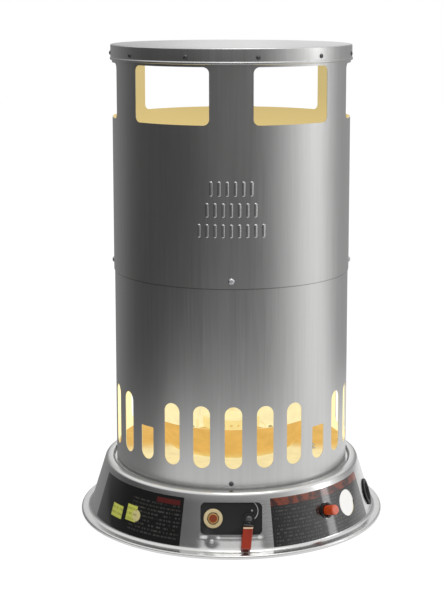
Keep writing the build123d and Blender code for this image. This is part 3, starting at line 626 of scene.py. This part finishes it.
def print_rows(finish, across, height, pitch, share):
    """Rows of short dashes of uneven length, as small print looks from a step away."""
    row = (height / pitch).math("FLOOR")
    place = (height / pitch).math("FRACT")
    dashes = finish.node("ShaderNodeTexNoise", {
        "Vector": finish.join(across * 0.45, row * 7.3, 0.0), "Scale": 1.0, "Detail": 1.0,
    })
    return place.near(0.5, 0.2, 0.08) * finish.step(dashes, 1.0 - share, 1.06 - share)


def film(name):
    """Glossy black printed film, with faint scuffs."""
    finish = Finish(name, coat_roughness=0.06, coat_weight=1.0, coat_ior=1.6, specular_ior_level=0.2)
    scuffs = finish.noise(220, detail=5.0)
    finish.set("Roughness", 0.25 + scuffs * 0.2)
    return finish


BLACK_INK = rgb(15, 14, 14)
GREY_INK = rgb(118, 116, 110)
RED_INK = rgb(88, 26, 24)
YELLOW_INK = rgb(214, 218, 96)
CREAM_INK = rgb(226, 214, 150)
PRINT_STRENGTH = 0.35


def inside_area(azimuth, height, area, soft=0.5):
    """1 inside a printed area, falling to 0 over its edge."""
    middle, half, level, half_level = area
    return azimuth.near(middle, half, soft) * height.near(level, half_level, 0.5)


def small_print(finish, azimuth, height, area, pitch, share):
    """Black film with grey rows of print in one area."""
    across = azimuth * (cone_radius(PANEL_H) * pi / 180)
    rows = print_rows(finish, across, height, pitch, share) * inside_area(azimuth, height, area)
    return finish.mix(rows * PRINT_STRENGTH, BLACK_INK, GREY_INK)


def left_film():
    """A red strip, two yellow patches and a pale disc among small print."""
    finish = film("left_film")
    _, height, azimuth = from_axis(finish)
    ink = small_print(finish, azimuth, height, LEFT_PRINT, 5.4, 0.52)
    ink = finish.mix(inside_area(azimuth, height, RED_STRIP, 0.6), ink, RED_INK)
    first, second = (inside_area(azimuth, height, area, 0.2) for area in YELLOW_PATCHES)
    ink = finish.mix(first, ink, YELLOW_INK)
    ink = finish.mix(second, ink, YELLOW_INK)
    away = length((azimuth - DISC_AT[0]) * DISC_MM_PER_DEGREE, height - DISC_AT[1])
    ink = finish.mix(finish.step(away, DISC_R, DISC_R - 1.0), ink, CREAM_INK)
    across = azimuth * (cone_radius(PANEL_H) * pi / 180)
    bars = print_rows(finish, across, height, 7.0, 0.6) * first.most(second)
    ink = finish.mix(bars * 0.45, ink, rgb(120, 120, 40))
    finish.set("Base Color", ink)
    return finish.material


def right_film():
    """Small print under a mottled header."""
    finish = film("right_film")
    _, height, azimuth = from_axis(finish)
    ink = small_print(finish, azimuth, height, RIGHT_PRINT, 5.0, 0.5)
    header = finish.step(height, HEADER_LOW, HEADER_LOW + 1.0)
    patches = finish.step(finish.noise(90, detail=3.0), 0.42, 0.58)
    ink = finish.mix(header, ink, finish.mix(patches, rgb(58, 24, 16), rgb(128, 54, 29)))
    finish.set("Base Color", ink)
    return finish.material


def plastic(name, colour, deep, roughness=0.28, coat=0.35):
    """Moulded plastic: faint flow marks, a fine texture and rubbed spots."""
    finish = Finish(name, coat_weight=coat, coat_roughness=0.12)
    flow = finish.noise(70, detail=3.0)
    grit = finish.noise(1600, detail=2.0)
    finish.set("Base Color", finish.mix((flow - 0.35).clamped() * 1.6, colour, deep))
    finish.set("Roughness", roughness + flow * 0.12 + grit * 0.05)
    finish.bump(grit, 0.00003, 0.3)
    return finish.material


def metal(name, light, dark, roughness=0.3, scale=320):
    """Bare metal part: fine tool marks, handling marks and a duller bloom."""
    finish = Finish(name, metallic=1.0)
    marks = finish.noise(scale, (1, 1, 3), detail=4.0)
    bloom = finish.noise(45, detail=3.0)
    finish.set("Base Color", finish.mix((marks * 0.5 + bloom * 0.9 - 0.2).clamped(), dark, light))
    finish.set("Roughness", roughness + bloom * 0.14 + marks * 0.06)
    finish.bump(marks, 0.00003, 0.35)
    return finish.material


def heat_dulled_painted_glow(name, bare, low_glow, high_glow, low, high, inner=None, rear=None):
    """Steel dulled by heat, with painted flame light: an emission glow that changes with height, and other
    painted glows in a bowl and at the rear.
    """
    finish = Finish(name, emission_strength=1.0, metallic=0.25)
    radius, height, azimuth = from_axis(finish)
    marks = finish.noise(60, detail=5.0)
    rise = finish.step(height + marks * 8.0, low, high)
    glow = finish.mix(rise, low_glow, high_glow)
    if inner:
        wall = BOWL_FOOT_R + (height - BOWL_FOOT_H) * BOWL_SPREAD
        glow = finish.mix(finish.step(radius - wall, 0.8, 0.4), glow, inner)
    if rear:
        glow = finish.mix(finish.step(abs(azimuth), 60.0, 84.0), glow, rear)
    finish.set("Base Color", finish.mix(marks * 0.6, bare, BLACK))
    finish.set("Roughness", 0.5 + marks * 0.2)
    finish.set("Emission Color", finish.mix(marks * 0.22, glow, BLACK))
    finish.bump(marks, 0.0001, 0.3)
    return finish.material


def panel_plate():
    """Black enamel plate with a plain arc and a dot beside the lever."""
    finish = Finish("panel_enamel", coat_weight=0.6, coat_roughness=0.1)
    x, _, z = finish.split(finish.place)
    grit = finish.noise(500, detail=4.0)
    across = x / MM - ARC_AT[0]
    up = z / MM - ARC_AT[1]
    reach = (across * across + up * up * 1.1).math("SQRT")
    around = in_degrees(across.math("ARCTAN2", up))
    arc = reach.near(ARC_R, 0.55, 0.15) * around.near(ARC_MIDDLE, ARC_HALF, 2.0)
    dot = finish.step(length(across - DOT_AT[0], up - DOT_AT[1]), DOT_R, DOT_R - 0.5)
    finish.set("Base Color", finish.mix(arc.most(dot), rgb(20, 20, 21), rgb(196, 198, 200)))
    finish.set("Roughness", 0.3 + grit * 0.16)
    finish.bump(grit, 0.00004, 0.3)
    return finish.material


def lever_plastic():
    """Red grip on a black hub and arm, with a painted highlight: a pale line near the grip's top."""
    finish = Finish("lever_plastic", coat_weight=0.4, coat_roughness=0.1)
    height = finish.split(finish.place)[2] / MM
    flow = finish.noise(70, detail=3.0)
    grit = finish.noise(1600, detail=2.0)
    red = finish.mix((flow - 0.35).clamped() * 1.6, rgb(172, 52, 24), rgb(140, 36, 16))
    grip_top = PANEL_H - GRIP_DROP
    grip = finish.mix(finish.step(height, grip_top, grip_top - 1.0), rgb(24, 23, 22), red)
    # Painted highlight: a pale cream line across the grip near its top edge.
    edge = height.near(PANEL_H - GRIP_HIGHLIGHT_DROP, 1.0, 0.15)
    finish.set("Base Color", finish.mix(edge, grip, rgb(232, 214, 178)))
    finish.set("Roughness", 0.26 + flow * 0.1 + grit * 0.05)
    finish.bump(grit, 0.00003, 0.3)
    return finish.material


def push_button():
    """Red-brown button with a brighter turned rim."""
    finish = Finish("push_button", coat_weight=0.5, coat_roughness=0.08)
    x, y, z = finish.split(finish.place)
    here = cone_frame(0, PANEL_H)
    middle, slope = here.translation, here.to_3x3().col[1].normalized()
    up = (y - middle.y) * slope.y + (z - middle.z) * slope.z
    away = length(x - BUTTON_U * MM, up) / MM
    grit = finish.noise(900, detail=3.0)
    rim = finish.step(away, BUTTON_CENTRE_R, BUTTON_CENTRE_R + 0.4)
    colour = finish.mix(rim, rgb(140, 62, 26), rgb(206, 158, 84))
    foot = finish.step(away, BUTTON_RIM_R, BUTTON_RIM_R + 0.4)
    colour = finish.mix(foot, colour, rgb(120, 92, 48))
    finish.set("Base Color", colour)
    finish.set("Roughness", 0.24 + grit * 0.1)
    return finish.material


def lid_piece():
    """Pressed lid: flat top, soft edge, upright rim and a small rolled lip."""
    low = HEIGHT - LID_RIM
    points = [
        (LID_R - LID_LIP_IN, low),
        (LID_R + LID_LIP, low + LID_LIP_H[0]),
        (LID_R + LID_LIP, low + LID_LIP_H[1]),
        (LID_R, low + LID_LIP_H[2]),
        (LID_R, HEIGHT),
        (LID_R / 2, HEIGHT),
    ]
    top_rings = [(LID_R / 4, HEIGHT), (LID_FILL_R, HEIGHT)]
    piece = turned("lid_pressing", rounded(points, LID_BENDS) + top_rings)
    fill_last_ring()
    thicken(piece, SHEET)
    smooth(piece)
    return piece


def rib_dome(tall):
    """Half of a rounded rib, flat at the back, in its own frame."""
    clear()
    bpy.ops.mesh.primitive_uv_sphere_add(segments=24, ring_count=12, radius=RIB_WIDTH / 2)
    piece = finished("rib")
    editing(piece)
    bpy.ops.mesh.bisect(plane_co=(0, 0, 0), plane_no=(0, 0, 1), use_fill=True, clear_inner=True)
    bpy.ops.object.mode_set(mode="OBJECT")
    stretch = (tall - RIB_WIDTH) / 2
    flatten = (RIB_RAISE + SHEET / 2) / (RIB_WIDTH / 2)
    for spot in piece.data.vertices:
        spot.co.z = spot.co.z * flatten
        spot.co.y += stretch if spot.co.y > 0 else -stretch
    return piece


def rib_pieces():
    """Three rows of short upright ribs, standing in the sheet's thickness."""
    pieces = []
    for middle, tall, count in RIB_ROWS:
        pattern = rib_dome(tall)
        for i in range(count):
            turn = (i - (count - 1) / 2) * RIB_PITCH / UPPER_R * (180 / pi)
            frame_here = wall_frame(turn, UPPER_R - SHEET / 2, middle)
            pieces.append(again(pattern, "rib", frame_here))
        bpy.data.objects.remove(pattern)
    return pieces


def upper_piece():
    heights = [SEAM_H + i * UPPER_RING_STEP for i in range(UPPER_RINGS)]
    piece = turned("upper_pressing", [(UPPER_R, height) for height in heights])
    thicken(piece, SHEET)
    wide = 2 * UPPER_R * sin(radians(WINDOW_ANGLE / 2))
    corners = (WINDOW_CORNER, WINDOW_CORNER)
    cutter = bar("window", wide, WINDOW_HIGH - WINDOW_LOW, WINDOW_CUT, corners)
    middle = (WINDOW_LOW + WINDOW_HIGH) / 2
    cutters = [
        again(cutter, "window", wall_frame((i + 0.5) * 360 / WINDOW_COUNT, UPPER_R, middle))
        for i in range(WINDOW_COUNT)
    ]
    bpy.data.objects.remove(cutter)
    cut(piece, cutters)
    piece = joined([piece] + rib_pieces(), "upper_pressing")
    smooth(piece)
    return piece


def lower_piece():
    tall_sheet = SEAM_H + LAP - LEDGE_H
    heights = [LEDGE_H + i * tall_sheet / LOWER_RINGS for i in range(LOWER_RINGS + 1)]
    piece = turned("lower_pressing", [(SHELL_R, height) for height in heights])
    thicken(piece, SHEET)
    tall = SLOT_HIGH - SLOT_LOW
    short = SHORT_SLOT_HIGH - SLOT_LOW
    radius = SLOT_WIDTH / 2 - 0.02
    long_cutter = bar("slot", SLOT_WIDTH, tall, SLOT_CUT, (radius, radius), 14)
    short_cutter = bar("slot", SLOT_WIDTH, short, SLOT_CUT, (radius, SHORT_SLOT_CORNER), 14)
    cutters = []
    for i in range(SLOT_COUNT):
        is_short = i in SHORT_SLOTS
        pattern = short_cutter if is_short else long_cutter
        high = SHORT_SLOT_HIGH if is_short else SLOT_HIGH
        turn = SLOT_TURN + i * 360 / SLOT_COUNT
        cutters.append(again(pattern, "slot", wall_frame(turn, SHELL_R, (high + SLOT_LOW) / 2)))
    bpy.data.objects.remove(long_cutter)
    bpy.data.objects.remove(short_cutter)
    cut(piece, cutters)
    smooth(piece)
    return piece


def skirt_outline():
    points = [
        (NECK_R - NECK_LIP, NECK_TOP),
        (NECK_R, NECK_TOP),
        (NECK_R, LEDGE_H),
        (NECK_R + LEDGE_RUN, LEDGE_H),
        (SHOULDER_R - CREST_RUN, SHOULDER_H + CREST_RISE),
        (SHOULDER_R, SHOULDER_H),
        (CONE_FOOT_R, FLANGE_H),
        (FLANGE_R, FLANGE_H),
        (FLANGE_R, 0),
        (FLANGE_R - HEM, 0),
    ]
    line = rounded(points, SKIRT_BENDS)
    split = next(i for i, spot in enumerate(line) if spot.x > SHOULDER_R and spot.y < SHOULDER_H / 2)
    rows = [Vector((cone_radius(height), height)) for height in CONE_ROWS]
    return line[:split] + rows + line[split:]


def press_in(piece):
    """Leans the sheet back in a shallow band below the control opening."""
    for spot in piece.data.vertices:
        height = spot.co.z / MM
        across = abs(spot.co.x / MM)
        low_enough = PRESS_LOW < height < PRESS_HIGH + PRESS_FADE_UP
        if spot.co.y < 0 and low_enough and across < PRESS_HALF + PRESS_FADE_SIDE:
            rise = (height - PRESS_LOW) / (PRESS_HIGH - PRESS_LOW)
            if rise > 1:
                rise = max(0.0, 1 - (height - PRESS_HIGH) / PRESS_FADE_UP)
            edge = min(1.0, max(0.0, (PRESS_HALF + PRESS_FADE_SIDE - across) / PRESS_FADE_SIDE))
            off = sqrt((spot.co.x / MM - SCREW_AT[0]) ** 2 + (height - SCREW_AT[1]) ** 2)
            land = min(1.0, max(0.0, (off - SCREW_LAND) / SCREW_LAND))
            out = Vector((spot.co.x, spot.co.y, 0)).normalized()
            spot.co -= out * PRESS_DEPTH * rise * edge * land * MM


def hole_cutters(holes):
    """Drums for round holes in the cone: (azimuth, height, radius)."""
    return [
        placed(drum("hole", radius, HOLE_CUT), cone_frame(azimuth, height))
        for azimuth, height, radius in holes
    ]


def skirt_piece():
    piece = turned("skirt_spinning", skirt_outline(), SKIRT_SIDES)
    press_in(piece)
    thicken(piece, BASE_SHEET)
    panel = bar("opening", PANEL_WIDTH, PANEL_TALL, HOLE_CUT, (PANEL_CORNER, PANEL_CORNER))
    holes = (LIGHT_HOLE, HOSE_HOLE, (IGNITER_AZ, IGNITER_H, IGNITER_R))
    cut(piece, [placed(panel, cone_frame(0, PANEL_H))] + hole_cutters(holes))
    smooth(piece)
    return piece


def decal_piece(name, span, holes):
    """Printed film that follows the cone between two azimuths."""
    steps = int(span[1] - span[0])
    clear()
    bpy.ops.mesh.primitive_plane_add(size=1.0)
    piece = finished(name)
    editing(piece)
    bpy.ops.mesh.subdivide(number_cuts=steps)
    bpy.ops.object.mode_set(mode="OBJECT")
    for spot in piece.data.vertices:
        azimuth = radians(span[0] + (spot.co.x + 0.5) * (span[1] - span[0]))
        height = DECAL_LOW + (spot.co.y + 0.5) * (DECAL_HIGH - DECAL_LOW)
        radius = cone_radius(height) + (DECAL_GAP + DECAL) / cos(radians(CONE_LEAN))
        spot.co = Vector((sin(azimuth) * radius, -cos(azimuth) * radius, height)) * MM
    thicken(piece, DECAL)
    if holes:
        cut(piece, hole_cutters(holes))
    smooth(piece)
    return piece


def merged_copy(node):
    """Copy of a CAD node with its loose triangles joined, so that it shades smoothly."""
    source = frame["nodes"][node]
    piece = source.copy()
    piece.data = source.data.copy()
    piece.name = piece.data.name = node + "_made"
    piece.parent = None
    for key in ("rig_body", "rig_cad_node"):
        if key in piece:
            del piece[key]
    bpy.context.scene.collection.objects.link(piece)
    editing(piece)
    bpy.ops.mesh.remove_doubles(threshold=WELD)
    bpy.ops.object.mode_set(mode="OBJECT")
    smooth(piece, CAD_SMOOTH_BELOW)
    apply_modifier(piece, "WEIGHTED_NORMAL", keep_sharp=True)
    return piece


def build_object():
    steel_low = brushed_sheet("brushed_lower", SHELL_R, lower_glow, seam_shade)
    steel_high = brushed_sheet("brushed_upper", UPPER_R, upper_glow)
    steel_lid = brushed_sheet("brushed_lid", LID_R, lid_glow, lid_shade, HEIGHT)
    stand_for(lower_piece(), "lower_shell", steel_low)
    stand_for(upper_piece(), "upper_shell", steel_high)
    stand_for(lid_piece(), "lid", steel_lid)
    stand_for(skirt_piece(), "base_skirt", spun_steel())
    stand_for(decal_piece("left_film_sheet", LEFT_DECAL, []), "left_label", left_film())
    azimuth, height, radius = LIGHT_HOLE
    holes = [(azimuth, height, radius + LIGHT_HOLE_CLEAR), (IGNITER_AZ, IGNITER_H, IGNITER_COLLAR_R)]
    stand_for(decal_piece("right_film_sheet", RIGHT_DECAL, holes), "right_label", right_film())
    finishes = small_finishes()
    for node in sorted(frame["nodes"]):
        if node in finishes:
            stand_for(merged_copy(node), node, finishes[node])


def small_finishes():
    """Material of every node that keeps its CAD shape."""
    zinc = metal("zinc", (0.62, 0.63, 0.64, 1), (0.40, 0.41, 0.42, 1), 0.26, 700)
    plain = metal("plain_steel", (0.58, 0.58, 0.57, 1), (0.38, 0.38, 0.37, 1), 0.34)
    dark_zinc = metal("dark_zinc", (0.16, 0.16, 0.165, 1), (0.08, 0.08, 0.085, 1), 0.4, 700)
    # Painted flame light: the parts inside glow by emission in the colours given below.
    cast = heat_dulled_painted_glow("lit_iron", (0.20, 0.18, 0.17, 1), rgb(214, 168, 84), rgb(244, 218, 140), 116.0, 140.0)
    brass = metal("brass", (0.78, 0.60, 0.30, 1), (0.55, 0.40, 0.18, 1), 0.24, 500)
    copper = metal("copper", (0.80, 0.45, 0.30, 1), (0.50, 0.26, 0.17, 1), 0.28)
    drawn = metal("drawn_tube", (0.74, 0.74, 0.75, 1), (0.55, 0.55, 0.56, 1), 0.3)
    tan_steel = (0.20, 0.16, 0.10, 1)
    bowl_inner = rgb(250, 238, 186)
    bowl = heat_dulled_painted_glow("bowl_steel", tan_steel, rgb(232, 200, 120), rgb(218, 166, 76), 106.0, 122.0, bowl_inner)
    orange = rgb(214, 166, 76)
    deck = heat_dulled_painted_glow("deck_steel", tan_steel, BLACK, rgb(240, 226, 172), 104.4, 105.0, rear=orange)
    lit = heat_dulled_painted_glow("lit_steel", tan_steel, rgb(226, 196, 124), rgb(244, 226, 164), 104.0, 118.0)
    painted_glow_cap = heat_dulled_painted_glow("cap_steel", tan_steel, rgb(232, 196, 116), rgb(250, 236, 180), 144.0, 152.0)
    rubber = plastic("rubber", rgb(22, 22, 22), rgb(34, 34, 34), 0.55, 0.0)
    groups = {
        zinc: ("seam_screws", "deck_screws", "plate_screw"),
        dark_zinc: ("lid_screws", "foot_screws", "lever_screw"),
        plain: (
            "venturi_tube", "venturi_bracket", "inlet_hanger", "lever_spindle", "button_spring",
            "igniter_spring", "igniter_nut",
        ),
        lit: ("cap_stud", "cap_nut", "electrode", "electrode_clip", "electrode_insulator", "thermocouple"),
        cast: ("burner_head",),
        brass: (
            "jet_holder", "jet_nut", "gas_jet", "thermocouple_nuts", "safety_valve", "control_valve",
            "inlet_fitting", "inlet_nut",
        ),
        copper: ("thermocouple_lead",),
        drawn: ("link_tube", "burner_tube", "feed_tube"),
        bowl: ("flame_bowl",),
        deck: ("deck_plate",),
        painted_glow_cap: ("burner_cap",),
        rubber: ("spark_lead", "hose_grommet"),
        panel_plate(): ("control_plate",),
        push_button(): ("valve_button",),
        plastic("cream_plastic", rgb(226, 208, 164), rgb(206, 182, 128), 0.26): ("button_bezel",),
        lever_plastic(): ("control_lever",),
        plastic("black_plastic", rgb(20, 20, 20), rgb(32, 32, 32), 0.4, 0.1): ("igniter_body",),
        plastic("orange_plastic", rgb(222, 84, 30), rgb(196, 62, 20), 0.24): ("igniter_button",),
    }
    return {node: material for material, nodes in groups.items() for node in nodes}


def rays(tree):
    """1 for a ray that the camera sees straight or through something clear, and 1 for a glossy ray."""
    kinds = ("Camera", "Transmission", "Glossy")
    seen, through, glossy = (tree.node("ShaderNodeLightPath", output=f"Is {kind} Ray") for kind in kinds)
    return seen.most(through), glossy


def floor_piece():
    """Pale floor: white to the camera and in gloss, with the heater's faint shadow."""
    clear()
    bpy.ops.mesh.primitive_plane_add(size=FLOOR_SIZE)
    floor = finished("floor")
    material = bpy.data.materials.new("floor_paint")
    material.use_nodes = True
    tree = Tree(material.node_tree)
    tree.tree.nodes.clear()
    place = tree.node("ShaderNodeTexCoord", output=3)
    x, y, _ = tree.split(place)
    straight_ray, glossy_ray = rays(tree)
    azimuth = azimuth_of(x, y)
    near = tree.step(length(x, y), FLOOR_FADE[1], FLOOR_FADE[0])
    left_side = tree.step(azimuth, -40.0, -75.0) * tree.step(azimuth, -176.0, -160.0)
    near_level = FLOOR_NEAR - left_side * FLOOR_LEFT_DROP
    level = near * near_level + (1.0 - near) * room_level(tree, azimuth)
    grey = tree.join(level, level, level)
    seen = tree.mix(straight_ray, grey, FLOOR_SEEN)
    glow = tree.node("ShaderNodeEmission", {"Color": seen, "Strength": 1.0})
    paint = tree.node("ShaderNodeBsdfDiffuse", {"Color": (0.9, 0.9, 0.9, 1)})
    special = straight_ray * (1 - FLOOR_SHADOW)
    kept = tree.node("ShaderNodeMixShader", {0: special.most(glossy_ray), 1: paint, 2: glow})
    tree.node("ShaderNodeOutputMaterial", {0: kept})
    clad(floor, material)


def room_level(tree, azimuth):
    """Brightness of the room at eye level, by azimuth."""
    level = tree.step(abs(azimuth), 166.0, 175.0) * 0.7 + ROOM_LOW
    for start, end, change in ROOM_STEPS:
        level = level + tree.step(azimuth, start, end) * change
    return level


def room():
    """Studio around the heater: pale to the camera, and a soft-box room in gloss and light."""
    world = bpy.data.worlds.new("studio")
    bpy.context.scene.world = world
    world.use_nodes = True
    tree = Tree(world.node_tree)
    tree.tree.nodes.clear()
    direction = tree.node("ShaderNodeTexCoord", output=0)
    x, y, z = tree.split(direction)
    azimuth = azimuth_of(x, y)
    rise = in_degrees(z.math("ARCSINE"))
    sky = tree.step(rise, *SKY_RISE)
    straight_ray, glossy_ray = rays(tree)
    level = room_level(tree, azimuth) * (1.0 - sky) + sky * (SKY_LEVEL + glossy_ray * SKY_GLOSS)
    strip = azimuth.near(87.0, 4.0, 1.5) * rise.near(14.0, 13.0, 2.0) * glossy_ray
    level = level + strip * STRIP_LEVEL
    grey = tree.join(level, level, level)
    shown = tree.mix(straight_ray, grey, WHITE)
    back = tree.node("ShaderNodeBackground", {"Color": shown, "Strength": 1.0})
    tree.node("ShaderNodeOutputWorld", {0: back})


def lamp(name, place, aim, size, power):
    light = bpy.data.lights.new(name, "AREA")
    light.shape = "RECTANGLE"
    light.size, light.size_y = size
    light.energy = power
    body = bpy.data.objects.new(name, light)
    bpy.context.scene.collection.objects.link(body)
    body.location = place
    body.rotation_euler = (Vector(aim) - Vector(place)).to_track_quat("-Z", "Y").to_euler()


def lights():
    lamp("top_box", place=(0.3, -0.7, 2.3), aim=(0, 0, 0.3), size=(1.4, 1.0), power=10.0)


def camera():
    lens = bpy.data.cameras.new("camera")
    lens.lens = CAMERA_LENS
    lens.shift_x, lens.shift_y = CAMERA_SHIFT
    lens.clip_end = CAMERA_SEES
    body = bpy.data.objects.new("camera", lens)
    bpy.context.scene.collection.objects.link(body)
    body.location = (0, -CAMERA_BACK * MM, CAMERA_H * MM)
    body.rotation_euler = (radians(90 - CAMERA_TILT), 0, 0)
    bpy.context.scene.camera = body
    bpy.context.scene.view_settings.view_transform = "Standard"


build_object()
floor_piece()
room()
lights()
camera()
